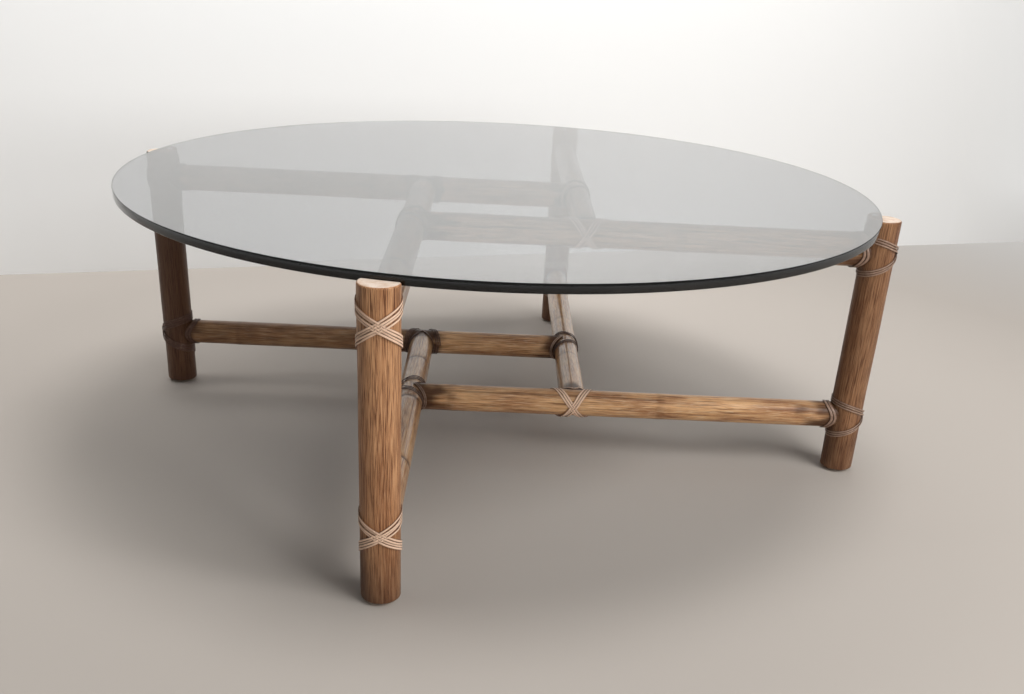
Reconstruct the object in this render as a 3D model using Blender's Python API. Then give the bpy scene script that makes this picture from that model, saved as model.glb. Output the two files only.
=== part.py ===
"""Round glass coffee table on a pinwheel base of lashed rattan poles. Metres, +Z up, floor at Z = 0."""

import math

import bmesh
import bpy
from mathutils import Matrix, Vector, kdtree

# Glass top
GLASS_DIA = 1.2192
GLASS_THICKNESS = 0.0127
GLASS_ARRIS = 0.0012
TABLE_HEIGHT = 0.439

# Poles
LEG_DIA = 0.0535
LEG_EASED_EDGE = 0.0025
UPPER_RAIL_DIA = 0.0445
LOWER_RAIL_DIA = 0.0445
RAIL_OFFSET = 0.137
LOWER_RAIL_HEIGHT = 0.098
GLASS_ABOVE_RAILS = 0.028

# Seats of the glass in the leg tops
GLASS_BITE = 0.020
SEAT_LIP = 0.0045
SEAT_CLEARANCE = 0.0015
PAD_DIA = 0.009
PAD_THICKNESS = 0.0015

# Dowels inside the joints
DOWEL_DIA = 0.010
DOWEL_IN_LEG = 0.018
DOWEL_IN_SIDE_OF_RAIL = 0.015
DOWEL_IN_RAIL_END = 0.030
DOWEL_CHAMFER = 0.001

# Floor glides
GLIDE_DIA = 0.030
GLIDE_THICKNESS = 0.004
GLIDE_CHAMFER = 0.001
GLIDE_NAIL_DIA = 0.0032
GLIDE_NAIL_LENGTH = 0.014

# Lashings of flat lace
LACE_WIDTH = 0.0048
LACE_THICKNESS = 0.0015
LACE_SIDE_GAP = 0.0014
LACE_STANDOFF = 0.0009
LACE_RAIL_CLEARANCE = 0.0015
LACE_CROSSING_GAP = 0.0006
LASHING_PASSES = 2
POINTS_PER_TURN = 16
CROSSING_TURN = 0.8
CROSSING_RAMP = 0.37

# Fits and facets
GAP = 0.0003
POLE_SIDES = 24
GLASS_SIDES = 96
SMALL_SIDES = 16
SHARP_ANGLE = math.radians(35)

# Heights and places that follow from the sizes above
GLASS_BOTTOM = TABLE_HEIGHT - GLASS_THICKNESS
LEG_TOP = GLASS_BOTTOM + SEAT_LIP
LEG_BOTTOM = GLIDE_THICKNESS + GAP
SEAT_FLOOR = GLASS_BOTTOM - PAD_THICKNESS - 2 * GAP
UPPER_RAIL_HEIGHT = GLASS_BOTTOM - GLASS_ABOVE_RAILS - UPPER_RAIL_DIA / 2
LEG_FROM_MIDDLE = GLASS_DIA / 2 + LEG_DIA / 2 - GLASS_BITE
LEG_REACH = math.sqrt(LEG_FROM_MIDDLE**2 - RAIL_OFFSET**2)
LACE_PITCH = LACE_WIDTH + LACE_SIDE_GAP

# Each level of rails, by name: pole diameter and height of the axis
LEVELS = {"upper": (UPPER_RAIL_DIA, UPPER_RAIL_HEIGHT), "lower": (LOWER_RAIL_DIA, LOWER_RAIL_HEIGHT)}
# The arms of the pinwheel, by the side on which the leg stands, each a quarter turn from the last
ARMS = ("left", "front", "right", "back")

# In the first arm the leg stands at LEG_PLACE, and the rails run along +X from it and butt at TEE_X
LEG_PLACE = Vector((-LEG_REACH, RAIL_OFFSET, 0))
TEE_X = RAIL_OFFSET
SIDE_JOINT_X = -RAIL_OFFSET


def clear_scene():
    for obj in list(bpy.data.objects):
        bpy.data.objects.remove(obj, do_unlink=True)


def make_material(name, colour, roughness, transmission=0.0):
    material = bpy.data.materials.new(name)
    material.use_nodes = True
    shader = material.node_tree.nodes["Principled BSDF"]
    shader.inputs["Base Color"].default_value = (*colour, 1)
    shader.inputs["Roughness"].default_value = roughness
    shader.inputs["Transmission Weight"].default_value = transmission
    return material


def new_object(name, mesh):
    obj = bpy.data.objects.new(name, mesh)
    bpy.context.collection.objects.link(obj)
    return obj


def mesh_from(bm, name):
    bmesh.ops.recalc_face_normals(bm, faces=bm.faces)
    mesh = bpy.data.meshes.new(name)
    bm.to_mesh(mesh)
    bm.free()
    mesh.shade_smooth()
    mesh.set_sharp_from_angle(angle=SHARP_ANGLE)
    return mesh


def turned(name, profile, sides, place=None):
    """A solid turned about Z from (radius, height) points, then moved by the matrix place."""
    bm = bmesh.new()
    verts = [bm.verts.new((radius, 0, height)) for radius, height in profile]
    edges = [bm.edges.new(pair) for pair in zip(verts, verts[1:])]
    bmesh.ops.spin(
        bm, geom=verts + edges, axis=(0, 0, 1), cent=(0, 0, 0), angle=math.tau, steps=sides, use_merge=True
    )
    bmesh.ops.remove_doubles(bm, verts=bm.verts, dist=1e-6)
    bmesh.ops.holes_fill(bm, edges=bm.edges, sides=sides)
    if place:
        bm.transform(place)
    return mesh_from(bm, name)


def pole_mesh(name, dia, length, eased, sides, place=None):
    """A round bar from Z = 0 to its length, with eased ends."""
    radius = dia / 2
    profile = [(radius - eased, 0), (radius, eased), (radius, length - eased), (radius - eased, length)]
    return turned(name, profile, sides, place)


def along(start, direction):
    """The matrix that carries Z from the origin to a line from start."""
    turn = Vector((0, 0, 1)).rotation_difference(Vector(direction))
    return Matrix.Translation(start) @ turn.to_matrix().to_4x4()


def cutter(dia, start, direction, length, sides):
    radius = dia / 2
    return turned("cutter", [(radius, 0), (radius, length)], sides, along(start, direction))


def carved(name, blank, cutters):
    """The blank mesh with every cutter mesh taken out of it."""
    body = new_object(name, blank)
    tools = []
    for mesh in cutters:
        tool = new_object("cutter", mesh)
        tool.hide_render = True
        tool.display_type = "WIRE"
        tools.append(tool)
        cut = body.modifiers.new("Cut", "BOOLEAN")
        cut.operation = "DIFFERENCE"
        cut.solver = "EXACT"
        cut.object = tool
    graph = bpy.context.evaluated_depsgraph_get()
    mesh = bpy.data.meshes.new_from_object(body.evaluated_get(graph))
    mesh.name = name
    for obj in [body, *tools]:
        bpy.data.objects.remove(obj, do_unlink=True)
    return mesh


def bore(start, direction, depth):
    """The clearance hole of a dowel, from inside a joint to a given depth from start."""
    return cutter(DOWEL_DIA + 2 * GAP, start, direction, depth + GAP, SMALL_SIDES)


def leg_mesh():
    blank = pole_mesh(
        "leg", LEG_DIA, LEG_TOP - LEG_BOTTOM, LEG_EASED_EDGE, POLE_SIDES,
        Matrix.Translation(LEG_PLACE + Vector((0, 0, LEG_BOTTOM))),
    )
    seat = cutter(
        GLASS_DIA + 2 * SEAT_CLEARANCE, (0, 0, SEAT_FLOOR), (0, 0, 1), GLASS_THICKNESS + SEAT_LIP, GLASS_SIDES
    )
    nail = cutter(
        GLIDE_NAIL_DIA + 2 * GAP, LEG_PLACE, (0, 0, 1), GLIDE_THICKNESS + GLIDE_NAIL_LENGTH + GAP, SMALL_SIDES
    )
    cuts = [seat, nail]
    for _, height in LEVELS.values():
        bottom = LEG_PLACE + Vector((LEG_DIA / 2 - DOWEL_IN_LEG - GAP, 0, height))
        cuts.append(bore(bottom, (1, 0, 0), LEG_DIA))
    return carved("leg", blank, cuts)


def rail_mesh(level):
    """A rail coped to its leg at one end and to the next rail at the other, with bores for its three dowels."""
    dia, height = LEVELS[level]
    start = LEG_PLACE + Vector((0, 0, height))
    blank = turned(
        level + "_rail", [(dia / 2, 0), (dia / 2, LEG_REACH + TEE_X)], POLE_SIDES, along(start, (1, 0, 0))
    )
    tee = Vector((TEE_X, RAIL_OFFSET, height))
    leg_end = -LEG_REACH + LEG_DIA / 2
    tee_end = TEE_X - dia / 2
    side = Vector((SIDE_JOINT_X, RAIL_OFFSET, height))
    cuts = [
        cutter(LEG_DIA + 2 * GAP, start - Vector((0, 0, dia)), (0, 0, 1), 2 * dia, POLE_SIDES),
        cutter(dia + 2 * GAP, tee - Vector((0, dia, 0)), (0, 1, 0), 2 * dia, POLE_SIDES),
        bore((leg_end + DOWEL_IN_RAIL_END, RAIL_OFFSET, height), (-1, 0, 0), DOWEL_IN_RAIL_END + LEG_DIA / 2),
        bore((tee_end - DOWEL_IN_RAIL_END, RAIL_OFFSET, height), (1, 0, 0), DOWEL_IN_RAIL_END + dia / 2),
        bore(side - Vector((0, dia / 2 - DOWEL_IN_SIDE_OF_RAIL - GAP, 0)), (0, -1, 0), dia),
    ]
    return carved(level + "_rail", blank, cuts)


def dowel_mesh(name, into_other):
    """A dowel along X, with X = 0 where the rail's end meets the other pole and the rail on the +X side."""
    length = into_other + DOWEL_IN_RAIL_END - GAP
    return pole_mesh(name, DOWEL_DIA, length, DOWEL_CHAMFER, SMALL_SIDES, along((-into_other, 0, 0), (1, 0, 0)))


def lace_centres(pole_dia, rail_dia, points_per_turn):
    """Points of the lace round a pole along Z: (angle from the outer face, radius, height).

    The lace rises over the rail on the inner side, crosses the outer face, passes below the rail and comes
    back, each pass beside the last. The arm that rises lies over the one that falls where they cross.
    """
    first = rail_dia / 2 + LACE_RAIL_CLEARANCE + LACE_WIDTH / 2
    tops = [first + k * LACE_PITCH for k in range(LASHING_PASSES)]
    bottoms = [first + (LASHING_PASSES - k) * LACE_PITCH for k in range(LASHING_PASSES + 1)]
    flat_radius = pole_dia / 2 + LACE_STANDOFF + LACE_THICKNESS / 2
    lift = LACE_THICKNESS + LACE_CROSSING_GAP
    ends = [-bottoms[0]]
    for top, bottom in zip(tops, bottoms[1:]):
        ends += [top, -bottom]
    points = []
    for arm, (low, high) in enumerate(zip(ends, ends[1:])):
        steps = points_per_turn if arm < len(ends) - 2 else points_per_turn + 1
        for i in range(steps):
            turn = math.tau * i / points_per_turn - math.pi
            height = (low + high) / 2 + (high - low) / 2 * math.sin(turn / 2)
            past = (abs(turn) - CROSSING_TURN) / CROSSING_RAMP
            raised = lift * min(1, max(0, 1 - past)) if arm % 2 == 0 else 0
            points.append((turn, flat_radius + raised, height))
    return points


def lace_sections(pole_dia, rail_dia, points_per_turn):
    """Centre, sideways direction and outward direction of the lace at each of its points."""
    polar = lace_centres(pole_dia, rail_dia, points_per_turn)
    centres = [Vector((r * math.cos(turn), r * math.sin(turn), height)) for turn, r, height in polar]
    sections = []
    for i, (turn, _, _) in enumerate(polar):
        outward = Vector((math.cos(turn), math.sin(turn), 0))
        ahead = centres[min(i + 1, len(centres) - 1)] - centres[max(i - 1, 0)]
        sideways = outward.cross(ahead).normalized()
        sections.append((centres[i], sideways, outward))
    return sections


def least_lace_gap(pole_dia, rail_dia):
    """The least distance of the lace to itself, over points spread on both its faces."""
    fine, across, reach = 12 * POINTS_PER_TURN, 6, 4 * LACE_THICKNESS
    sections = lace_sections(pole_dia, rail_dia, fine)
    points = []
    for index, (centre, sideways, outward) in enumerate(sections):
        for k in range(across + 1):
            for face in (-0.5, 0.5):
                offset = sideways * LACE_WIDTH * (k / across - 0.5) + outward * LACE_THICKNESS * face
                points.append((index, centre + offset))
    tree = kdtree.KDTree(len(points))
    for i, (_, point) in enumerate(points):
        tree.insert(point, i)
    tree.balance()
    least = reach
    for index, point in points:
        for _, other, distance in tree.find_range(point, least):
            if abs(points[other][0] - index) > fine // 2:
                least = min(least, distance)
    return least


def lashing_mesh(name, pole_dia, rail_dia):
    """One unbroken flat lace round a pole along Z, whose outer face is on +X and whose rail leaves on -X."""
    bm = bmesh.new()
    rings = []
    for centre, sideways, outward in lace_sections(pole_dia, rail_dia, POINTS_PER_TURN):
        half_width = sideways * LACE_WIDTH / 2
        half_thick = outward * LACE_THICKNESS / 2
        corners = (
            centre - half_width - half_thick, centre + half_width - half_thick,
            centre + half_width + half_thick, centre - half_width + half_thick,
        )
        rings.append([bm.verts.new(corner) for corner in corners])
    for ring, after in zip(rings, rings[1:]):
        for k in range(4):
            bm.faces.new((ring[k], ring[k - 1], after[k - 1], after[k]))
    bm.faces.new(rings[0])
    bm.faces.new(rings[-1])
    print(f"{name}: least gap of the lace to itself {least_lace_gap(pole_dia, rail_dia) * 1000:.2f} mm")
    return mesh_from(bm, name)


def glide_mesh():
    radius, nail = GLIDE_DIA / 2, GLIDE_NAIL_DIA / 2
    profile = [
        (radius - GLIDE_CHAMFER, 0), (radius, GLIDE_CHAMFER), (radius, GLIDE_THICKNESS),
        (nail, GLIDE_THICKNESS), (nail, GLIDE_THICKNESS + GLIDE_NAIL_LENGTH),
    ]
    return turned("glide", profile, SMALL_SIDES)


def add(name, mesh, material, parent=None, location=(0, 0, 0), rotation=(0, 0, 0)):
    """One named piece, which shares its mesh with its copies on the other arms."""
    obj = new_object(name, mesh)
    if not mesh.materials:
        mesh.materials.append(material)
    obj.parent = parent
    obj.location = location
    obj.rotation_euler = rotation
    return obj


def build_glass(material):
    radius = GLASS_DIA / 2
    profile = [
        (radius - GLASS_ARRIS, 0), (radius, GLASS_ARRIS),
        (radius, GLASS_THICKNESS - GLASS_ARRIS), (radius - GLASS_ARRIS, GLASS_THICKNESS),
    ]
    add("glass_top", turned("glass_top", profile, GLASS_SIDES), material, location=(0, 0, GLASS_BOTTOM))


def build_arms(materials):
    leg = leg_mesh()
    glide = glide_mesh()
    pad = pole_mesh("glass_pad", PAD_DIA, PAD_THICKNESS, PAD_THICKNESS / 4, SMALL_SIDES)
    rails = {level: rail_mesh(level) for level in LEVELS}
    leg_dowel = dowel_mesh("leg_dowel", DOWEL_IN_LEG)
    tee_dowel = dowel_mesh("tee_dowel", DOWEL_IN_SIDE_OF_RAIL)
    leg_lashings = {
        level: lashing_mesh(level + "_leg_lashing", LEG_DIA, dia) for level, (dia, _) in LEVELS.items()
    }
    tee_lashings = {level: lashing_mesh(level + "_tee_lashing", dia, dia) for level, (dia, _) in LEVELS.items()}
    pad_from_middle = (LEG_FROM_MIDDLE - LEG_DIA / 2 + GLASS_DIA / 2) / 2
    pad_place = LEG_PLACE.normalized() * pad_from_middle + Vector((0, 0, SEAT_FLOOR + GAP))

    for quarter, side in enumerate(ARMS):
        arm = new_object("arm_" + side, None)
        arm.rotation_euler = (0, 0, quarter * math.pi / 2)
        add("leg_" + side, leg, materials["leg"], arm)
        add("glide_" + side, glide, materials["glide"], arm, LEG_PLACE)
        add("glass_pad_" + side, pad, materials["pad"], arm, pad_place)
        for level, (dia, height) in LEVELS.items():
            leg_joint = LEG_PLACE + Vector((0, 0, height))
            tee_joint = Vector((TEE_X, RAIL_OFFSET, height))
            add(f"{level}_rail_{side}", rails[level], materials["rail"], arm)
            add(f"{level}_leg_dowel_{side}", leg_dowel, materials["dowel"], arm,
                leg_joint + Vector((LEG_DIA / 2, 0, 0)))
            add(f"{level}_tee_dowel_{side}", tee_dowel, materials["dowel"], arm,
                tee_joint - Vector((dia / 2, 0, 0)), (0, 0, math.pi))
            add(f"{level}_leg_lashing_{side}", leg_lashings[level], materials["lace"], arm,
                leg_joint, (0, 0, math.pi))
            add(f"{level}_tee_lashing_{side}", tee_lashings[level], materials["lace"], arm,
                tee_joint, (-math.pi / 2, 0, 0))


clear_scene()
build_glass(make_material("smoked_glass", (0.20, 0.21, 0.22), 0.03, transmission=0.8))
build_arms({
    "leg": make_material("leg_cane", (0.30, 0.15, 0.07), 0.4),
    "rail": make_material("rail_cane", (0.36, 0.19, 0.09), 0.3),
    "lace": make_material("rawhide_lace", (0.58, 0.38, 0.23), 0.55),
    "dowel": make_material("hardwood_dowel", (0.62, 0.45, 0.28), 0.7),
    "glide": make_material("grey_glide", (0.25, 0.25, 0.26), 0.5),
    "pad": make_material("clear_pad", (0.80, 0.80, 0.80), 0.4),
})
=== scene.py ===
import bmesh
import bpy
import math
from mathutils import Matrix, Vector, noise


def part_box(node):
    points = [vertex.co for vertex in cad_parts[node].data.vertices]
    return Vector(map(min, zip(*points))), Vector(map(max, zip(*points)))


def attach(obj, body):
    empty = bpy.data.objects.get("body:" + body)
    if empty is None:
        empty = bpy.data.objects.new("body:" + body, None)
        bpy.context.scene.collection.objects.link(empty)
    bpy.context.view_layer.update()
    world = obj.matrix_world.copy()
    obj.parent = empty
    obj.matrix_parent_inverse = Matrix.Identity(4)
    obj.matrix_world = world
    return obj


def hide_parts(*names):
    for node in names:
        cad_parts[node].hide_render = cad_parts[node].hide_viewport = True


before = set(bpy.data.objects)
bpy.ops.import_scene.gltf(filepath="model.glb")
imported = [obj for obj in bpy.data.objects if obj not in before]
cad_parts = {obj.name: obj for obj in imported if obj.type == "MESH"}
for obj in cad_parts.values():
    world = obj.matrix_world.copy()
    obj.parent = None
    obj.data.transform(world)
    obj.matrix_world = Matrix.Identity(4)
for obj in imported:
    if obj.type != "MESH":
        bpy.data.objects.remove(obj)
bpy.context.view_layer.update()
print("frame loaded:", len(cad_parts), "nodes")

arms = ("left", "front", "right", "back")  # sides on which the legs stand, each a quarter turn on
levels = ("upper", "lower")


# shader tools

def linear(r, g, b):  # screen colour 0 to 255, to the shader's own scale
    parts = [c / 255 for c in (r, g, b)]
    return tuple(c / 12.92 if c < 0.04045 else ((c + 0.055) / 1.055) ** 2.4 for c in parts) + (1,)


def plug(tree, socket, what):
    if isinstance(what, Wire):
        tree.links.new(what.socket, socket)
    else:
        socket.default_value = what


class Wire:  # one socket, with sums written as sums
    def __init__(self, tree, socket):
        self.tree = tree
        self.socket = socket

    def maths(self, how, first, second):
        step = self.tree.nodes.new("ShaderNodeMath")
        step.operation = how
        plug(self.tree, step.inputs[0], first)
        plug(self.tree, step.inputs[1], second)
        return Wire(self.tree, step.outputs[0])

    def __add__(self, other):
        return self.maths("ADD", self, other)

    def __radd__(self, other):
        return self.maths("ADD", other, self)

    def __sub__(self, other):
        return self.maths("SUBTRACT", self, other)

    def __rsub__(self, other):
        return self.maths("SUBTRACT", other, self)

    def __mul__(self, other):
        return self.maths("MULTIPLY", self, other)

    def __rmul__(self, other):
        return self.maths("MULTIPLY", other, self)


class Finish:  # one material and the way its nodes are added
    def __init__(self, name):
        self.material = bpy.data.materials.new(name)
        self.material.use_nodes = True
        self.tree = self.material.node_tree
        self.shader = self.tree.nodes["Principled BSDF"]
        self.output = self.tree.nodes["Material Output"]

    def node(self, kind, settings=None, sockets=None, out=0):
        made = self.tree.nodes.new("ShaderNode" + kind)
        for key, value in (settings or {}).items():
            setattr(made, key, value)
        for key, value in (sockets or {}).items():
            plug(self.tree, made.inputs[key], value)
        return Wire(self.tree, made.outputs[out])

    def surface(self, **sockets):
        for key, value in sockets.items():
            plug(self.tree, self.shader.inputs[key.replace("_", " ")], value)

    def painted(self, name):  # a value kept on the mesh
        return self.node("Attribute", {"attribute_name": name}, out="Fac")

    def stretched(self, scale):  # object coordinates, drawn out by unlike scales
        place = self.node("TexCoord", out="Object")
        return self.node("VectorMath", {"operation": "MULTIPLY"}, {0: place, 1: scale})

    def speckle(self, scale, detail=2.0, rough=0.5):
        return self.node("TexNoise", None, {
            "Vector": self.stretched(scale), "Scale": 1.0, "Detail": detail, "Roughness": rough})

    def ramp(self, value, low, high):  # 0 at low, 1 at high
        return self.node("MapRange", {"clamp": True}, {"Value": value, "From Min": low, "From Max": high})

    def blend(self, amount, first, second):
        return self.node("Mix", {"data_type": "RGBA"}, {"Factor": amount, 6: first, 7: second}, out=2)

    def bump(self, height, strength, distance):
        return self.node("Bump", None, {"Height": height, "Strength": strength, "Distance": distance})


def even(waves):  # the same count of waves a metre on every axis
    return (waves, waves, waves)


# grain runs along one axis: across is waves a metre over the fibres, along is waves a metre down them
def grain(axis, across, along):
    scale = [across, across, across]
    scale[axis] = along
    return tuple(scale)


# in the looks, broad, streak, dash and fine are grain (across, along), and At is a ramp's low and high
# the stain colour is also the colour of painted shade on the legs darker than the front one
legLook = dict(
    stainAndShade=linear(52, 25, 14), dark=linear(82, 42, 24), mid=linear(168, 116, 77),
    light=linear(200, 149, 106), pale=linear(224, 180, 138),
    axis=2, broad=(44, 3.5), streak=(560, 8), dash=(1150, 28),
    broadPart=0.6, streakPart=0.4, lightAt=(0.40, 0.60), streakAt=(0.46, 0.30), streakDark=0.4,
    paleAt=(0.46, 0.34), dashPale=0.5, pitAt=(0.50, 0.63), pitDark=0.85,
    rough=0.42, pitRough=0.2, specular=0.3, coat=0.12, coatRough=0.3,
    streakHigh=0.4, bump=0.5, bumpDeep=0.0006)


def legCane():
    f = Finish("leg_cane")
    look = legLook
    broad = f.speckle(grain(look["axis"], *look["broad"]), 3)
    streak = f.speckle(grain(look["axis"], *look["streak"]), 2, 0.6)
    dash = f.speckle(grain(look["axis"], *look["dash"]), 3, 0.6)
    fibres = broad * look["broadPart"] + streak * look["streakPart"]
    pits = f.ramp(dash, *look["pitAt"])
    body = f.blend(f.ramp(fibres, *look["lightAt"]), look["mid"], look["light"])
    body = f.blend(f.ramp(streak, *look["streakAt"]) * look["streakDark"], body, look["dark"])
    body = f.blend(f.ramp(dash, *look["paleAt"]) * look["dashPale"], body, look["pale"])
    body = f.blend(pits * look["pitDark"], body, look["dark"])
    # the value kept on the mesh: a real stain, the darker foot, and on the legs darker than the front one
    # partly painted shade
    body = f.blend(f.painted("stainAndShade"), body, look["stainAndShade"])
    height = streak * look["streakHigh"] - pits
    f.surface(Base_Color=body, Roughness=look["rough"] + pits * look["pitRough"],
              Specular_IOR_Level=look["specular"], Coat_Weight=look["coat"], Coat_Roughness=look["coatRough"],
              Normal=f.bump(height, look["bump"], look["bumpDeep"]))
    return f.material


endLook = dict(
    pale=linear(216, 199, 184), tan=linear(200, 174, 152), pore=linear(150, 114, 88),
    pores=620, cloud=90, cloudAt=(0.40, 0.66), poreAt=(0.30, 0.14), poreDark=0.5,
    rough=0.72, bump=0.3, bumpDeep=0.0004)


def endGrain():
    f = Finish("end_grain")
    look = endLook
    spots = f.stretched(even(look["pores"]))
    pores = f.node("TexVoronoi", {"feature": "F1"}, {"Vector": spots, "Scale": 1.0})
    tone = f.ramp(f.speckle(even(look["cloud"]), 3), *look["cloudAt"])
    dots = f.ramp(pores, *look["poreAt"])
    body = f.blend(tone, look["pale"], look["tan"])
    body = f.blend(dots * look["poreDark"], body, look["pore"])
    f.surface(Base_Color=body, Roughness=look["rough"],
              Normal=f.bump(1 - dots, look["bump"], look["bumpDeep"]))
    return f.material


# gloss and sharp hold a value for the rails along X and one for those along Y
# the stain colour is also the colour of painted shade on the left rails
railLook = dict(
    stainAndShade=linear(58, 29, 13), brown=linear(156, 105, 68),
    golden=linear(224, 176, 126), pale=linear(242, 218, 184),
    broad=(46, 7), streak=(400, 15), fine=(950, 44),
    broadPart=0.5, streakPart=0.5, goldenAt=(0.38, 0.60), paleAt=(0.52, 0.70), finePale=0.5,
    streakAt=(0.44, 0.28), streakDark=0.55, fineAt=(0.42, 0.28), fineDark=0.5,
    besideRingAt=(0.05, 0.4), besideRingDark=0.25, ringAt=(0.55, 0.9), ringPale=0.9,
    rough=0.30, roughAt=(0.3, 0.7), streakRough=0.14, specular=0.25,
    gloss=(0.42, 0.95), sharp=(0.2, 0.14), darkMatt=0.95,
    streakHigh=0.6, fineHigh=0.4, bump=0.25, bumpDeep=0.0004)


def railCane(axis):
    f = Finish("rail_cane_" + "xyz"[axis])
    look = railLook
    broad = f.speckle(grain(axis, *look["broad"]), 3)
    streak = f.speckle(grain(axis, *look["streak"]), 3, 0.6)
    fine = f.speckle(grain(axis, *look["fine"]), 2, 0.6)
    ring = f.painted("ring")
    stainAndShade = f.painted("stainAndShade")
    fibres = broad * look["broadPart"] + streak * look["streakPart"]
    body = f.blend(f.ramp(fibres, *look["goldenAt"]), look["brown"], look["golden"])
    body = f.blend(f.ramp(fine, *look["paleAt"]) * look["finePale"], body, look["pale"])
    body = f.blend(f.ramp(streak, *look["streakAt"]) * look["streakDark"], body, look["stainAndShade"])
    body = f.blend(f.ramp(fine, *look["fineAt"]) * look["fineDark"], body, look["stainAndShade"])
    body = f.blend(f.ramp(ring, *look["besideRingAt"]) * look["besideRingDark"], body, look["stainAndShade"])
    body = f.blend(f.ramp(ring, *look["ringAt"]) * look["ringPale"], body, look["pale"])
    # a real stain and dark ends, and on the left rails partly painted shade, kept on the mesh
    body = f.blend(stainAndShade, body, look["stainAndShade"])
    height = streak * look["streakHigh"] + fine * look["fineHigh"]
    worn = f.ramp(streak, *look["roughAt"])
    f.surface(Base_Color=body, Roughness=look["rough"] + worn * look["streakRough"],
              Coat_Weight=look["gloss"][axis] * (1 - stainAndShade * look["darkMatt"]),
              Coat_Roughness=look["sharp"][axis], Specular_IOR_Level=look["specular"],
              Normal=f.bump(height, look["bump"], look["bumpDeep"]))
    return f.material


# the edge colours are painted shade in the gaps along the strips' edges, and the darker mottle of the hide
laceLook = dict(
    dark=linear(86, 55, 40), darkShadeAndMottle=linear(46, 29, 21),
    tan=linear(238, 202, 174), tanShadeAndMottle=linear(92, 60, 44),
    patch=150, patchPart=0.5, hide=900, edgeShadeAt=(0.60, 0.95), edgeShade=0.85, hideAt=(0.44, 0.30), hideDark=0.3,
    rough=0.42, hideRough=0.16, coat=0.2, coatRough=0.25, bump=0.3, bumpDeep=0.0003)


def rawhide():
    f = Finish("rawhide_lace")
    look = laceLook
    patch = f.speckle(even(look["patch"]), 3, 0.6)
    hide = f.speckle(even(look["hide"]), 2, 0.6)
    mixed = f.ramp(f.painted("tone") + (patch - 0.5) * look["patchPart"], 0.0, 1.0)
    body = f.blend(mixed, look["dark"], look["tan"])
    shadeAndMottle = f.blend(mixed, look["darkShadeAndMottle"], look["tanShadeAndMottle"])
    # painted shade along the strips' edges, where they lie against each other
    body = f.blend(f.ramp(f.painted("edge"), *look["edgeShadeAt"]) * look["edgeShade"], body, shadeAndMottle)
    body = f.blend(f.ramp(hide, *look["hideAt"]) * look["hideDark"], body, shadeAndMottle)
    f.surface(Base_Color=body, Roughness=look["rough"] + hide * look["hideRough"], Coat_Weight=look["coat"],
              Coat_Roughness=look["coatRough"], Normal=f.bump(hide, look["bump"], look["bumpDeep"]))
    return f.material


glassLook = dict(tint=(0.46, 0.48, 0.51, 1), density=100.0, ior=1.52, polish=0.5, polishRough=0.01,
                 flatAt=(0.5, 0.9), smear=(9, 14, 9), smearAt=(0.5, 0.75), smearRough=0.02)


def smokedGlass():
    f = Finish("smoked_glass")
    look = glassLook
    smear = f.ramp(f.speckle(look["smear"], 4, 0.6), *look["smearAt"])
    up = f.node("SeparateXYZ", None, {0: f.node("NewGeometry", out="Normal")}, out="Z")
    flat = f.ramp(up * up, *look["flatAt"])  # the two faces, without the rim
    f.surface(Base_Color=(1, 1, 1, 1), Roughness=smear * look["smearRough"], Transmission_Weight=1.0,
              IOR=look["ior"], Coat_Weight=flat * look["polish"], Coat_Roughness=look["polishRough"])
    soak = f.node("VolumeAbsorption", None, {"Color": look["tint"], "Density": look["density"]})
    plug(f.tree, f.output.inputs["Volume"], soak)
    return f.material


dowelLook = dict(brown=linear(196, 158, 112), pale=linear(226, 196, 152), fibre=700, rough=0.7)


def hardwood():
    f = Finish("hardwood_dowel")
    look = dowelLook
    fibre = f.speckle(even(look["fibre"]), 3)
    f.surface(Base_Color=f.blend(fibre, look["brown"], look["pale"]), Roughness=look["rough"])
    return f.material


glideLook = dict(dark=linear(92, 92, 94), pale=linear(132, 131, 130), scuff=400, scuffAt=(0.4, 0.7),
                 rough=0.4, scuffRough=0.3)


def nylon():
    f = Finish("grey_glide")
    look = glideLook
    scuff = f.speckle(even(look["scuff"]), 3)
    f.surface(Base_Color=f.blend(f.ramp(scuff, *look["scuffAt"]), look["dark"], look["pale"]),
              Roughness=look["rough"] + scuff * look["scuffRough"])
    return f.material


padLook = dict(colour=(0.9, 0.9, 0.9, 1), clear=0.7, ior=1.45, cloud=500, rough=0.2, cloudRough=0.2)


def clearPad():
    f = Finish("clear_pad")
    look = padLook
    cloud = f.speckle(even(look["cloud"]), 2)
    f.surface(Base_Color=look["colour"], Roughness=look["rough"] + cloud * look["cloudRough"],
              Transmission_Weight=look["clear"], IOR=look["ior"])
    return f.material


looks = dict(leg=legCane(), end=endGrain(), railX=railCane(0), railY=railCane(1), lace=rawhide(),
             glass=smokedGlass(), dowel=hardwood(), glide=nylon(), pad=clearPad())
print("finishes made:", len(looks))


# modelling tools

close = 1e-5  # heights nearer than this are one height
fewSides = 8  # faces with more corners than this are flat ends


def onlyActive(piece):
    bpy.ops.object.select_all(action="DESELECT")
    piece.select_set(True)
    bpy.context.view_layer.objects.active = piece


def addRod(name, radius, depth, sides, middle=(0, 0, 0)):
    bpy.ops.object.select_all(action="DESELECT")
    bpy.ops.mesh.primitive_cylinder_add(vertices=sides, radius=radius, depth=depth, location=middle)
    rod = bpy.context.object
    rod.name = rod.data.name = name
    bpy.ops.object.transform_apply(location=True, rotation=True, scale=True)
    return rod


def pickEdges(piece, wanted):
    bpy.ops.object.mode_set(mode="EDIT")
    bpy.ops.mesh.select_mode(type="EDGE")
    bpy.ops.mesh.select_all(action="DESELECT")
    shape = bmesh.from_edit_mesh(piece.data)
    for edge in shape.edges:
        edge.select_set(wanted(edge.verts[0].co, edge.verts[1].co))
    bmesh.update_edit_mesh(piece.data)


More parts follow.
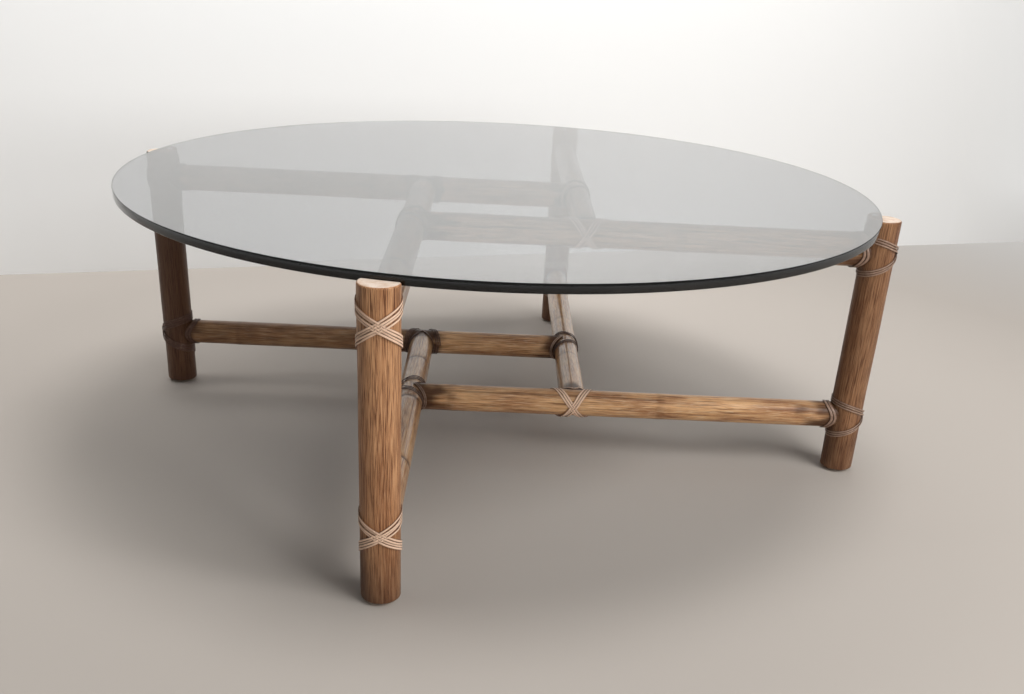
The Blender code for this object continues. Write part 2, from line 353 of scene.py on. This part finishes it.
def easeEnds(piece, low, high, width, steps):
    def atEnd(a, b):
        level = abs(a.z - b.z) < close
        return level and (abs(a.z - low) < close or abs(a.z - high) < close)
    pickEdges(piece, atEnd)
    bpy.ops.mesh.bevel(offset=width, segments=steps, affect="EDGES")
    bpy.ops.object.mode_set(mode="OBJECT")


def ringCuts(piece, count):
    pickEdges(piece, lambda a, b: abs(a.z - b.z) > close)
    bpy.ops.mesh.subdivide(number_cuts=count)
    bpy.ops.object.mode_set(mode="OBJECT")


def cutAway(piece, cutter):
    onlyActive(piece)
    cut = piece.modifiers.new("cut", "BOOLEAN")
    cut.operation = "DIFFERENCE"
    cut.solver = "EXACT"
    cut.object = cutter
    bpy.ops.object.modifier_apply(modifier="cut")
    bpy.data.objects.remove(cutter, do_unlink=True)


def turnTo(piece, move):  # bakes a move into the mesh, so that the object stays at the origin
    piece.matrix_world = move
    onlyActive(piece)
    bpy.ops.object.transform_apply(location=True, rotation=True, scale=True)


def settle(piece, node, body, angle=40):
    onlyActive(piece)
    bpy.ops.object.shade_smooth_by_angle(angle=math.radians(angle))
    for face in piece.data.polygons:  # flat ends stay flat
        if len(face.vertices) > fewSides:
            face.use_smooth = False
    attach(piece, body)
    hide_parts(node)


def nodeMiddle(node):  # middle and size of a node's box
    low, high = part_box(node)
    return (Vector(low) + Vector(high)) / 2, Vector(high) - Vector(low)


def easeStep(x):
    x = min(1.0, max(0.0, x))
    return x * x * (3 - 2 * x)


def uneven(x, y, z):  # a smooth wander between about -1 and 1
    return noise.noise(Vector((x, y, z)))


# glass top

glassTop = dict(sides=288, arris=0.0012, arrisSteps=3, smooth=25)
glassMiddle, glassSize = nodeMiddle("glass_top")
glassRadius = glassSize.x / 2
glassBottom = glassMiddle.z - glassSize.z / 2


def makeGlass():
    pane = addRod("glass_sheet", glassRadius, glassSize.z, glassTop["sides"], glassMiddle)
    easeEnds(pane, glassBottom, glassBottom + glassSize.z, glassTop["arris"], glassTop["arrisSteps"])
    pane.data.materials.append(looks["glass"])
    settle(pane, "glass_top", "glass_top", glassTop["smooth"])


makeGlass()
print("glass made")


# legs

# waves are (round the pole, along it), and the foot grows darker from footFrom down to footTo
# each leg's stain is partly a real stain and, on the legs darker than the front one, partly painted shade
leg = dict(sides=96, rings=90, easedEdge=0.0026, easeSteps=3,
           seatClearance=0.0015, seatCut=0.04, padRoom=0.0021, endUp=0.9, endNear=0.001,
           core=0.6, wobble=0.0005, wobbleWaves=(1.5, 9), flute=0.00022, fluteWaves=(170.0, 7),
           cloudWaves=(30, 9), cloudStain=0.12, footCloud=(0.8, 0.5), mostDark=0.9,
           footFrom=0.12, footTo=0.04, footDark=dict(left=0.0, front=0.92, right=0.3, back=0.5),
           stainAndShade=dict(left=0.84, front=0.0, right=0.48, back=0.45), seedStep=11.3, seedFrom=2.0)
legMiddle, legSize = nodeMiddle("leg_left")
legRadius, legHeight = legSize.x / 2, legSize.z
legLow = legMiddle.z - legHeight / 2
seatFloor = glassBottom - leg["padRoom"]


def shapeLeg(pole, side, seed):
    stainAndShade = pole.data.attributes.new("stainAndShade", "FLOAT", "POINT")
    legStainAndShade = leg["stainAndShade"][side]
    cloudRound, cloudAlong = leg["cloudWaves"]
    wobbleRound, wobbleAlong = leg["wobbleWaves"]
    fluteRound, fluteAlong = leg["fluteWaves"]
    footPlain, footCloudy = leg["footCloud"]
    for v in pole.data.vertices:
        up = v.co.z + legHeight / 2
        way = Vector((v.co.x, v.co.y, 0))
        foot = easeStep((leg["footFrom"] - up) / (leg["footFrom"] - leg["footTo"])) * leg["footDark"][side]
        cloud = uneven(v.co.x * cloudRound + seed, v.co.y * cloudRound, up * cloudAlong)
        # a real stain with painted shade on the darker legs, a darker foot and a random cloud
        tone = legStainAndShade + (1 - legStainAndShade) * foot * (footPlain + footCloudy * cloud) + leg["cloudStain"] * cloud
        stainAndShade.data[v.index].value = min(leg["mostDark"], max(0.0, tone))
        if way.length < legRadius * leg["core"]:
            continue
        way.normalize()
        slow = uneven(way.x * wobbleRound + seed, way.y * wobbleRound, up * wobbleAlong)
        quick = noise.noise(way * fluteRound * legRadius + Vector((seed, 0, up * fluteAlong)))
        v.co += way * (slow * leg["wobble"] + quick * leg["flute"])


def makeLeg(side, seed):
    middle, _ = nodeMiddle("leg_" + side)
    pole = addRod("leg_pole_" + side, legRadius - leg["wobble"], legHeight, leg["sides"])
    ringCuts(pole, leg["rings"])
    easeEnds(pole, -legHeight / 2, legHeight / 2, leg["easedEdge"], leg["easeSteps"])
    shapeLeg(pole, side, seed)
    turnTo(pole, Matrix.Translation(middle))
    seat = addRod("seat_cut", glassRadius + leg["seatClearance"], leg["seatCut"], glassTop["sides"],
                  (0, 0, seatFloor + leg["seatCut"] / 2))
    cutAway(pole, seat)
    pole.data.materials.append(looks["leg"])
    pole.data.materials.append(looks["end"])
    lip, sole = legLow + legHeight - leg["endNear"], legLow + leg["endNear"]
    for face in pole.data.polygons:  # bare end grain on the lip and under the foot
        if abs(face.normal.z) > leg["endUp"] and (face.center.z > lip or face.center.z < sole):
            face.material_index = 1
    settle(pole, "leg_" + side, "base")


for turn, side in enumerate(arms):
    makeLeg(side, leg["seedStep"] * turn + leg["seedFrom"])
print("legs made")


# rails

# endReach is how far the dark runs in from a rail's ends, sideReach from where the next rail butts on it,
# the tone at the leg end and at the tee end is a real stain, on the left rails partly painted shade too, and
# rings are the joints of the cane, from the leg end
rail = dict(sides=72, ringGap=0.002, gap=0.0003, cutEdge=0.0008, core=0.6,
            wobble=0.0005, wobbleWaves=(1.3, 7), bow=0.0008, swell=0.0007, swellWide=0.007,
            ringWide=0.0032, ringDip=1.2, darkRingWide=0.0052, darkRingDeep=0.0014,
            grooveDeep=0.0006, grooveWide=0.06, grooveWaves=5, grooveBreaks=2.2, grooveDark=0.75,
            endDark=0.9, endCloud=0.6, endReach=dict(left=0.034, front=0.034, right=0.070, back=0.030),
            sideReach=0.030, sideCloud=0.5, sideSpread=1.7,
            sideStain=dict(left=0.93, front=0.2, right=0.1, back=0.2),
            stainAndShade=dict(left=(0.62, 0.12), front=(0.35, 0.25), right=(0.05, 0.05), back=(0.2, 0.2)),
            toneOver=0.1, cloudWaves=(2, 40), cloudStain=0.15, mostDark=0.95,
            rings=dict(left=(0.12, 0.37), front=(0.19, 0.415, 0.597), right=(0.318, 0.669),
                       back=(0.12, 0.34, 0.55)),
            darkRings=dict(left=0.0, front=0.9, right=0.0, back=0.5),
            seedStep=5.7, seedLevel=31.0, seedFrom=1.0)


def bell(off, wide):
    return math.exp(-(off / wide) ** 2)


def shapeRail(pole, radius, length, sideJoint, side, seed):
    rings = pole.data.attributes.new("ring", "FLOAT", "POINT")
    stainAndShade = pole.data.attributes.new("stainAndShade", "FLOAT", "POINT")
    wobbleRound, wobbleAlong = rail["wobbleWaves"]
    cloudRound, cloudAlong = rail["cloudWaves"]
    legTone, teeTone = rail["stainAndShade"][side]
    reach, sideReach = rail["endReach"][side], rail["sideReach"]
    darkRing = rail["darkRings"][side]
    grooveTurn = math.pi * uneven(seed * 1.7, 0.4, 2)
    bend = rail["bow"] * uneven(seed, 9.2, 1)
    for v in pole.data.vertices:
        out = Vector((v.co.x, v.co.y, 0))
        if out.length < radius * rail["core"]:
            continue
        way = out.normalized()
        down = v.co.z + length / 2
        slow = uneven(way.x * wobbleRound + seed, way.y * wobbleRound, down * wobbleAlong)
        near = min(abs(down - knot) for knot in rail["rings"][side])
        line = bell(near, rail["ringWide"])
        darkLine = bell(near, rail["darkRingWide"]) * darkRing
        angle = math.atan2(way.y, way.x) - grooveTurn
        off = abs(math.atan2(math.sin(angle), math.cos(angle)))
        broken = easeStep(0.5 + rail["grooveBreaks"] * uneven(seed, 1.3, down * rail["grooveWaves"]))
        groove = bell(off, rail["grooveWide"]) * broken
        swell = (bell(near, rail["swellWide"]) - line * rail["ringDip"]) * rail["swell"]
        v.co += way * (slow * rail["wobble"] + swell
                       - groove * rail["grooveDeep"] - darkLine * rail["darkRingDeep"])
        v.co.x += bend * math.sin(math.pi * down / length)
        rings.data[v.index].value = line * (1 - darkRing)
        cloud = uneven(way.x * cloudRound + seed, way.y * cloudRound, down * cloudAlong)
        atEnd = min(down - legRadius, length - radius - down)
        ends = rail["endDark"] * easeStep((reach * (1 + rail["endCloud"] * cloud) - atEnd) / reach)
        spread = rail["sideSpread"] * sideReach * (1 + rail["sideCloud"] * cloud)
        beside = rail["sideStain"][side] * easeStep((spread - abs(down - sideJoint)) / sideReach)
        # the tone along the rail: a real stain, and on the left rails partly painted shade
        toned = legTone + (teeTone - legTone) * easeStep((down - sideJoint) / rail["toneOver"] + 0.5)
        toned += rail["cloudStain"] * cloud
        # the groove and the dark node rings are drawn darker
        darkest = max(0, toned, ends, rail["grooveDark"] * groove, beside, darkLine)
        stainAndShade.data[v.index].value = min(rail["mostDark"], darkest)


def darkenCuts(pole, legSpot, end, across, radius):  # the coped ends, which the cutting left bare
    stainAndShade = pole.data.attributes["stainAndShade"]
    for v in pole.data.vertices:
        fromLeg = math.hypot(v.co.x - legSpot.x, v.co.y - legSpot.y) - legRadius
        fromRail = math.hypot(v.co[across] - end[across], v.co.z - end.z) - radius
        if min(fromLeg, fromRail) < rail["gap"] + rail["cutEdge"]:
            stainAndShade.data[v.index].value = rail["endDark"]


def makeRail(level, turn, seed):
    side = arms[turn]
    name = f"{level}_rail_{side}"
    middle, size = nodeMiddle(name)
    across = 0 if size.x > size.y else 1
    radius = size.z / 2
    legSpot, _ = nodeMiddle("leg_" + side)
    other, _ = nodeMiddle(f"{level}_rail_{arms[turn - 1]}")  # the rail that this one butts on
    onto, _ = nodeMiddle(f"{level}_rail_{arms[(turn + 1) % 4]}")  # the rail that butts on this one
    start = Vector((legSpot.x, legSpot.y, middle.z))
    end = middle.copy()
    end[across] = other[across]
    length = (end - start).length
    pole = addRod(name.replace("rail", "rail_pole"), radius - rail["wobble"], length, rail["sides"])
    ringCuts(pole, int(length / rail["ringGap"]))
    shapeRail(pole, radius, length, abs(onto[across] - start[across]), side, seed)
    lay = Vector((0, 0, 1)).rotation_difference((end - start).normalized()).to_matrix().to_4x4()
    turnTo(pole, Matrix.Translation((start + end) / 2) @ lay)
    cope = addRod("leg_cope", legRadius + rail["gap"], 4 * radius, leg["sides"], start)
    cutAway(pole, cope)
    cope = addRod("rail_cope", radius + rail["gap"], 4 * radius, rail["sides"])
    turnTo(cope, Matrix.Translation(end) @ Matrix.Rotation(math.pi / 2, 4, "XY"[across]))
    cutAway(pole, cope)
    darkenCuts(pole, legSpot, end, across, radius)
    pole.data.materials.append(looks["rail" + "XY"[across]])
    settle(pole, name, "base")


for lift, level in enumerate(levels):
    for turn in range(4):
        makeRail(level, turn, rail["seedStep"] * turn + rail["seedLevel"] * lift + rail["seedFrom"])
print("rails made")


# lashings

# crossing and ramp are the turn within which strands lie over each other, squeeze draws the crossing together
lace = dict(thick=0.0013, standoff=0.0001, steps=96, corners=10, boxy=0.7,
            crossing=0.95, ramp=0.35, weave=1.5, jitter=0.0007, swayWaves=1.4, squeeze=0.86, smooth=60,
            seedStep=3.1, seedLevel=17.0, seedTee=7.9, seedStrand=3.7)
collarLace = dict(turns=2, gap=0.0007, start=0.0012, follow=0.93, swayWaves=0.9)
# each binding: passes, strip width, gaps between passes above and below the rail, room to the rail,
# how far the crossing is pulled up, tone from dark (0) to tan (1), and the collar's strip width and tone
bindings = dict(
    legFront=dict(passes=4, width=0.0031, gapTop=0.0020, gapLow=0.0008, room=0.0008, lift=0.008, tone=0.95,
                  collarWidth=0.0045, collarTone=0.4),
    legRight=dict(passes=3, width=0.0029, gapTop=0.0012, gapLow=0.0008, room=0.0003, lift=0.003, tone=0.30,
                  collarWidth=0.0050, collarTone=0.22),
    legLeft=dict(passes=4, width=0.0036, gapTop=0.0005, gapLow=0.0004, room=0.0003, lift=0.003, tone=0.0,
                 collarWidth=0.0050, collarTone=0.0),
    legBack=dict(passes=4, width=0.0032, gapTop=0.0010, gapLow=0.0008, room=0.0005, lift=0.004, tone=0.4,
                 collarWidth=0.0045, collarTone=0.2),
    teeLeft=dict(passes=3, width=0.0018, gapTop=0.0036, gapLow=0.0036, room=0.0006, lift=0.0, tone=0.10,
                 collarWidth=0.0022, collarTone=0.4),
    teeFront=dict(passes=3, width=0.0022, gapTop=0.0016, gapLow=0.0016, room=0.0006, lift=0.0, tone=0.05,
                  collarWidth=0.0024, collarTone=0.1),
    teeRight=dict(passes=3, width=0.0018, gapTop=0.0044, gapLow=0.0044, room=0.0006, lift=0.0, tone=0.08,
                  collarWidth=0.0022, collarTone=0.2),
    teeBack=dict(passes=3, width=0.0038, gapTop=0.0016, gapLow=0.0016, room=0.0006, lift=0.0, tone=1.0,
                 collarWidth=0.0022, collarTone=0.6))


def boxed(x):  # squares off a round section a little
    return math.copysign(abs(x) ** lace["boxy"], x)


class Strip:  # gathers the faces of flat strips laid along points
    def __init__(self):
        self.verts, self.faces, self.edge, self.tone = [], [], [], []

    def lay(self, points, outs, width, tone):
        n = lace["corners"]
        start = len(self.verts)
        for i, (point, out) in enumerate(zip(points, outs)):
            ahead = points[min(i + 1, len(points) - 1)] - points[max(i - 1, 0)]
            aside = out.cross(ahead).normalized()
            for k in range(n):
                a = math.tau * k / n
                c, s = boxed(math.cos(a)), boxed(math.sin(a))
                self.verts.append(point + aside * c * width / 2 + out * s * lace["thick"] / 2)
                self.edge.append(abs(c))
                self.tone.append(tone)
        for i in range(len(points) - 1):
            for k in range(n):
                a, b = start + i * n + k, start + i * n + (k + 1) % n
                self.faces.append((a, b, b + n, a + n))
        self.faces.append(tuple(start + k for k in reversed(range(n))))
        last = start + (len(points) - 1) * n
        self.faces.append(tuple(last + k for k in range(n)))

    def piece(self, name):
        mesh = bpy.data.meshes.new(name)
        mesh.from_pydata(self.verts, [], self.faces)
        for key, values in (("edge", self.edge), ("tone", self.tone)):
            layer = mesh.attributes.new(key, "FLOAT", "POINT")
            layer.data.foreach_set("value", values)
        mesh.materials.append(looks["lace"])
        made = bpy.data.objects.new(name, mesh)
        bpy.context.collection.objects.link(made)
        onlyActive(made)
        bpy.ops.object.mode_set(mode="EDIT")
        bpy.ops.mesh.select_all(action="SELECT")
        bpy.ops.mesh.normals_make_consistent(inside=False)
        bpy.ops.object.mode_set(mode="OBJECT")
        return made


def weaveTurns(strands, strand):  # where one strand meets the others, and whether it runs over them
    low, high = strands[strand]
    for other in range((strand + 1) % 2, len(strands), 2):
        start, end = strands[other]
        height = (start + end - low - high) / 2 * lace["squeeze"] / ((high - low - end + start) / 2)
        onTop = (strand // 2 + other // 2 + strand) % 2
        yield 2 * math.asin(max(-1.0, min(1.0, height))), onTop


def overUnder(meets, turn):  # 1 on top, 0 below, eased between two meetings
    if turn <= meets[0][0]:
        return meets[0][1]
    for (here, first), (there, second) in zip(meets, meets[1:]):
        if turn <= there:
            part = (turn - here) / max(close, there - here)
            return first + (second - first) * easeStep(0.5 + lace["weave"] * (part - 0.5))
    return meets[-1][1]


def figureEight(strip, place, poleRadius, railRadius, kind, seed):
    first = railRadius + kind["room"] + kind["width"] / 2
    above, below = kind["width"] + kind["gapTop"], kind["width"] + kind["gapLow"]
    passes = kind["passes"]
    ends = [-(first + passes * below)]
    for k in range(passes):
        ends += [first + k * above, -(first + (passes - 1 - k) * below)]
    strands = list(zip(ends, ends[1:]))
    points, outs = [], []
    for strand, (low, high) in enumerate(strands):
        meets = sorted(weaveTurns(strands, strand))
        lastStrand = strand == len(strands) - 1
        for i in range(lace["steps"] + lastStrand):
            turn = math.tau * i / lace["steps"] - math.pi
            squeeze = lace["squeeze"] + (1 - lace["squeeze"]) * abs(math.sin(turn / 2))
            height = (low + high) / 2 * squeeze + (high - low) / 2 * math.sin(turn / 2)
            height += kind["lift"] * math.cos(turn / 2) ** 2
            sway = uneven(seed + strand * lace["seedStrand"], turn * lace["swayWaves"], 0)
            height += lace["jitter"] * sway * math.cos(turn / 2)
            over = overUnder(meets, turn)
            zone = easeStep((lace["crossing"] + lace["ramp"] - abs(turn)) / lace["ramp"])
            radius = poleRadius + lace["standoff"] + lace["thick"] * (0.5 + over * zone)
            out = Vector((math.cos(turn), math.sin(turn), 0))
            points.append(place @ (out * radius + Vector((0, 0, height))))
            outs.append((place.to_3x3() @ out).normalized())
    strip.lay(points, outs, kind["width"], kind["tone"])


def collar(strip, place, poleRadius, railRadius, kind, seed):  # turns round the rail, close against the pole
    points, outs = [], []
    radius = railRadius + lace["standoff"] + lace["thick"] / 2
    for i in range(collarLace["turns"] * lace["steps"] + 1):
        turn = math.tau * i / lace["steps"] + seed
        aside = railRadius * math.cos(turn)
        saddle = math.sqrt(max(0.0, poleRadius ** 2 - aside ** 2))
        down = poleRadius + collarLace["follow"] * (saddle - poleRadius)
        down += collarLace["start"] + kind["collarWidth"] / 2
        down += (kind["collarWidth"] + collarLace["gap"]) * i / lace["steps"]
        down += lace["jitter"] * uneven(seed, turn * collarLace["swayWaves"], 7)
        out = Vector((0, math.cos(turn), math.sin(turn)))
        points.append(place @ (out * radius + Vector((-down, 0, 0))))
        outs.append((place.to_3x3() @ out).normalized())
    strip.lay(points, outs, kind["collarWidth"], kind["collarTone"])


def makeLashing(node, name, place, poleRadius, railRadius, kind, seed):
    strip = Strip()
    figureEight(strip, place, poleRadius, railRadius, kind, seed)
    collar(strip, place, poleRadius, railRadius, kind, seed)
    settle(strip.piece(name), node, "base", lace["smooth"])


for lift, level in enumerate(levels):
    for turn, side in enumerate(arms):
        quarter = Matrix.Rotation(turn * math.pi / 2, 4, "Z")
        legSpot, _ = nodeMiddle("leg_" + side)
        railSpot, railSize = nodeMiddle(f"{level}_rail_{side}")
        railRadius = railSize.z / 2
        seed = lace["seedStep"] * turn + lace["seedLevel"] * lift
        # the outer face of the joint is on +X, and the rail leaves on -X
        outward = quarter @ Matrix.Rotation(math.pi, 4, "Z")
        atLeg = Matrix.Translation((legSpot.x, legSpot.y, railSpot.z)) @ outward
        makeLashing(f"{level}_leg_lashing_{side}", f"{level}_leg_lace_{side}", atLeg, legRadius, railRadius,
                    bindings["leg" + side.title()], seed)
        other, _ = nodeMiddle(f"{level}_rail_{arms[turn - 1]}")
        tee = railSpot.copy()
        tee[turn % 2] = other[turn % 2]
        atTee = Matrix.Translation(tee) @ quarter @ Matrix.Rotation(-math.pi / 2, 4, "X")
        makeLashing(f"{level}_tee_lashing_{side}", f"{level}_tee_lace_{side}", atTee, railRadius, railRadius,
                    bindings["tee" + side.title()], seed + lace["seedTee"])
print("lashings made")


# floor glides, pads and dowels

glide = dict(sides=48, edge=0.001, edgeSteps=2, gap=0.0003)
pad = dict(sides=32, dome=0.0006, domeSteps=3)

for side in arms:
    middle, size = nodeMiddle("glide_" + side)
    thick = legLow - glide["gap"]
    foot = addRod("floor_glide_" + side, size.x / 2, thick, glide["sides"], (middle.x, middle.y, thick / 2))
    easeEnds(foot, 0, thick, glide["edge"], glide["edgeSteps"])
    foot.data.materials.append(looks["glide"])
    settle(foot, "glide_" + side, "base")
    middle, size = nodeMiddle("glass_pad_" + side)
    button = addRod("clear_button_" + side, size.x / 2, size.z, pad["sides"], middle)
    easeEnds(button, middle.z - size.z / 2, middle.z + size.z / 2, pad["dome"], pad["domeSteps"])
    button.data.materials.append(looks["pad"])
    settle(button, "glass_pad_" + side, "base")
    for level in levels:
        for joint in ("leg", "tee"):
            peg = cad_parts[f"{level}_{joint}_dowel_{side}"]
            peg.data.materials.clear()
            peg.data.materials.append(looks["dowel"])
print("glides, pads and dowels finished")


# floor, backdrop and light

# fades are where the floor and the backdrop begin to be lost in the pale room, and where they are gone
stage = dict(floor=(0.48, 0.434, 0.39, 1), floorRadius=4.6, floorSides=96, floorFade=(1.5, 3.4),
             wall=(0.86, 0.86, 0.85, 1), wallAt=1.12, wallWide=4.4, wallHigh=1.4, wallTurn=16.7,
             wallFadeUp=(0.9, 1.35), wallFadeOut=(1.5, 2.15), room=(0.82, 0.82, 0.81, 1), matt=0.75)


def raysOf(tree, kind):
    paths = tree.nodes.new("ShaderNodeLightPath")
    return Wire(tree, paths.outputs[f"Is {kind} Ray"])


def layered(f, amount, second):  # the material's own shader gives way to a second one
    first = Wire(f.tree, f.shader.outputs[0])
    plug(f.tree, f.output.inputs["Surface"], f.node("MixShader", None, {0: amount, 1: first, 2: second}))


def floorFinish():  # matt, and lost in the pale room further off
    f = Finish("floor")
    f.surface(Base_Color=stage["floor"], Roughness=stage["matt"])
    looked = raysOf(f.tree, "Camera") + raysOf(f.tree, "Glossy") + raysOf(f.tree, "Transmission")
    off = f.node("VectorMath", {"operation": "LENGTH"}, {0: f.node("TexCoord", out="Object")}, out="Value")
    pale = f.node("Emission", None, {"Color": stage["room"], "Strength": 1.0})
    layered(f, f.ramp(off, *stage["floorFade"]) * looked, pale)
    return f.material


def wallFinish():  # clear from behind, so that the back of the table can be looked at
    f = Finish("backdrop")
    f.surface(Base_Color=stage["wall"], Roughness=stage["matt"])
    behind = f.node("NewGeometry", out="Backfacing")
    spot = f.node("TexCoord", out="Object")
    high = f.ramp(f.node("SeparateXYZ", None, {0: spot}, out="Z"), *stage["wallFadeUp"])
    off = f.node("VectorMath", {"operation": "DISTANCE"}, {0: spot, 1: (0, stage["wallAt"], 0)}, out="Value")
    layered(f, behind + high + f.ramp(off, *stage["wallFadeOut"]), f.node("BsdfTransparent"))
    return f.material


def makeStage():
    bpy.ops.object.select_all(action="DESELECT")
    bpy.ops.mesh.primitive_circle_add(vertices=stage["floorSides"], radius=stage["floorRadius"],
                                      fill_type="NGON")
    ground = bpy.context.object
    ground.name = "floor"
    ground.data.materials.append(floorFinish())
    bpy.ops.object.select_all(action="DESELECT")
    bpy.ops.mesh.primitive_plane_add(size=1, location=(0, stage["wallAt"], stage["wallHigh"] / 2),
                                     rotation=(math.pi / 2, 0, math.radians(stage["wallTurn"])))
    wall = bpy.context.object
    wall.name = "backdrop"
    wall.scale = (stage["wallWide"], stage["wallHigh"], 1)
    bpy.ops.object.transform_apply(location=True, rotation=True, scale=True)
    wall.data.materials.append(wallFinish())
    wall.visible_shadow = wall.visible_diffuse = False  # lights nothing and shades nothing


# only the mirrored lamp shows in gloss and through the glass
lamps = dict(
    right_front=dict(place=(2.3, -1.9, 2.5), aim=(0, 0, 0.25), wide=1.8, high=1.8, watts=80, mirrored=True),
    front_fill=dict(place=(1.9, -2.8, 0.95), aim=(0, 0, 0.2), wide=1.8, high=1.0, watts=30, mirrored=False),
    overhead=dict(place=(0.4, -0.15, 2.8), aim=(0.1, -0.1, 0), wide=1.0, high=1.0, watts=34, mirrored=False),
    back_light=dict(place=(-1.1, 2.2, 2.2), aim=(-0.3, 0.3, 0.1), wide=2.8, high=1.0, watts=27,
                    mirrored=False),
    wall_wash=dict(place=(-0.62, 0.41, 1.95), aim=(-0.77, 0.89, 1.05), wide=3.6, high=0.25, watts=30,
                   mirrored=False))


def areaLight(name, place, aim, wide, high, watts, mirrored):
    bpy.ops.object.select_all(action="DESELECT")
    bpy.ops.object.light_add(type="AREA", location=place)
    lamp = bpy.context.object
    lamp.name = name
    lamp.rotation_euler = (Vector(aim) - Vector(place)).to_track_quat("-Z", "Y").to_euler()
    lamp.data.shape = "RECTANGLE"
    lamp.data.size = wide
    lamp.data.size_y = high
    lamp.data.energy = watts
    lamp.visible_camera = False
    lamp.visible_glossy = lamp.visible_transmission = mirrored


makeStage()
for name, settings in lamps.items():
    areaLight(name, **settings)

room = dict(lamp=0.08, seen=0.9, mirrored=0.3)


def makeWorld():  # pale where it is looked at, dim as a lamp
    world = bpy.data.worlds.new("studio")
    bpy.context.scene.world = world
    world.use_nodes = True
    tree = world.node_tree
    looked = raysOf(tree, "Camera") + raysOf(tree, "Transmission")
    strength = room["lamp"] + looked * room["seen"] + raysOf(tree, "Glossy") * room["mirrored"]
    shade = tree.nodes["Background"]
    shade.inputs["Color"].default_value = stage["room"]
    plug(tree, shade.inputs["Strength"], strength)


makeWorld()
bpy.context.scene.view_settings.view_transform = "Standard"
print("stage and lights set")


# camera, at the photograph's place: angles in degrees, lens in pixels of a frame 1024 wide

camera = dict(place=(-0.0039, -1.7878, 0.7835), turnRight=1.514, lookDown=25.897, roll=3.084,
              lensPixels=1058.2, frameWide=1024, axisBelowMiddle=115, sensorWide=36)
bpy.ops.object.camera_add(location=camera["place"])
shot = bpy.context.object
turned = (Matrix.Rotation(math.radians(-camera["turnRight"]), 3, "Z")
          @ Matrix.Rotation(math.radians(90 - camera["lookDown"]), 3, "X")
          @ Matrix.Rotation(math.radians(camera["roll"]), 3, "Z"))
shot.rotation_euler = turned.to_euler()
shot.data.sensor_width = camera["sensorWide"]
shot.data.lens = camera["sensorWide"] * camera["lensPixels"] / camera["frameWide"]
shot.data.shift_y = camera["axisBelowMiddle"] / camera["frameWide"]
bpy.context.scene.camera = shot
print("camera set")
